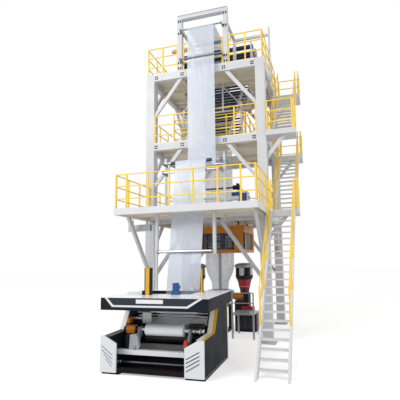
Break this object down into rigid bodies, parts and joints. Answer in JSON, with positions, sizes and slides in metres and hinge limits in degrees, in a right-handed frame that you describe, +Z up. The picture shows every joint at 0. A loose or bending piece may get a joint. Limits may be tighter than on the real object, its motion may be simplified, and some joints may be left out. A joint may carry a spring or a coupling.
{
  "type": "blown film extrusion machine",
  "caption": "Steel tower with decks, stairs and yellow guard rails that carries a film bubble from its die up to nip rollers and back down to a winder in front.",
  "frame": {"origin": "on the floor under the centre of the die, at the middle of the underside of the die stand", "axes": "+Z up; -Y towards the winder and the foot of the stairs; +X towards the stairs"},
  "size_m": [5.836, 8.32, 12.38],
  "materials": {
    "light_grey_paint": "satin",
    "deck_grey": "satin",
    "safety_yellow": "satin",
    "white_paint": "satin",
    "dark_blue_grey": "satin",
    "black_paint": "satin",
    "orange_paint": "satin",
    "red_paint": "satin",
    "roller_blue": "satin",
    "machined_steel": "satin",
    "chrome": "polished",
    "film": "satin",
    "roll_white": "satin",
    "slat_navy": "satin"
  },
  "bodies": {
    "frame": {"air_ring": "machined_steel", "apron_fascia": "light_grey_paint", "apron_floor": "deck_grey", "apron_frame": "deck_grey", "apron_guard_rail": "safety_yellow", "bubble_air_pipe": "machined_steel", "bubble_guide": "black_paint", "cage_frames": "orange_paint", "cage_screws": "black_paint", "collapser_carrier": "light_grey_paint", "collapsing_rails": "machined_steel", "collapsing_slats": "slat_navy", "column_feet": "light_grey_paint", "deck_guard_rails": "safety_yellow", "die": "machined_steel", "die_stand": "dark_blue_grey", "drum_bearings": "orange_paint", "extruder_barrels": "orange_paint", "extruder_bases": "black_paint", "extruder_drives": "black_paint", "extruder_hoppers": "red_paint", "extruder_motors": "red_paint", "film_bubble": "film", "film_web": "film", "floor_joists": "deck_grey", "floor_plates": "deck_grey", "gantry_frame": "light_grey_paint", "guide_stand": "light_grey_paint", "haul_off_motors": "orange_paint", "haul_off_plates": "light_grey_paint", "haul_off_rollers": "black_paint", "hood_equipment": "safety_yellow", "knee_braces": "light_grey_paint", "main_beams": "light_grey_paint", "roll_carriers": "machined_steel", "roller_arms": "light_grey_paint", "roller_hangers": "light_grey_paint", "service_stand": "light_grey_paint", "sizing_cage": "machined_steel", "stair_1": "white_paint", "stair_2": "white_paint", "stair_3": "white_paint", "stair_hand_rails": "safety_yellow", "stair_landings": "light_grey_paint", "tower_columns": "light_grey_paint", "turning_roller": "chrome", "winder_base": "dark_blue_grey", "winder_cheeks": "dark_blue_grey", "winder_covers": "white_paint", "winder_cross_beams": "machined_steel", "winder_drives": "orange_paint", "winder_hood": "dark_blue_grey", "winder_idlers": "chrome"},
    "gantry_top_roller_body": {"gantry_top_roller": "chrome"},
    "gantry_low_roller_body": {"gantry_low_roller": "chrome"},
    "upper_guide_roller_body": {"upper_guide_roller": "roller_blue"},
    "tension_roller_body": {"tension_roller": "chrome"},
    "lower_guide_roller_body": {"lower_guide_roller": "chrome"},
    "wound_roll_body": {"wound_roll": "roll_white"},
    "contact_drum_body": {"contact_drum": "black_paint"}
  },
  "joints": [
    {"name": "gantry_top_roller_spin", "type": "hinge", "parent": "frame", "child": "gantry_top_roller_body", "pos_m": [0, -2.13, 11.62], "axis": [1, 0, 0], "continuous": true},
    {"name": "gantry_low_roller_spin", "type": "hinge", "parent": "frame", "child": "gantry_low_roller_body", "pos_m": [0, -2.1866, 10.4], "axis": [1, 0, 0], "continuous": true},
    {"name": "upper_guide_roller_spin", "type": "hinge", "parent": "frame", "child": "upper_guide_roller_body", "pos_m": [0, -3.22, 6.06], "axis": [1, 0, 0], "continuous": true},
    {"name": "tension_roller_spin", "type": "hinge", "parent": "frame", "child": "tension_roller_body", "pos_m": [0, -3.22, 5.745], "axis": [1, 0, 0], "continuous": true},
    {"name": "lower_guide_roller_spin", "type": "hinge", "parent": "frame", "child": "lower_guide_roller_body", "pos_m": [0, -3.82, 3.065], "axis": [1, 0, 0], "continuous": true},
    {"name": "wound_roll_spin", "type": "hinge", "parent": "frame", "child": "wound_roll_body", "pos_m": [0, -5.2, 0.985], "axis": [1, 0, 0], "continuous": true},
    {"name": "contact_drum_spin", "type": "hinge", "parent": "frame", "child": "contact_drum_body", "pos_m": [0, -4.988, 0.773], "axis": [1, 0, 0], "continuous": true}
  ]
}
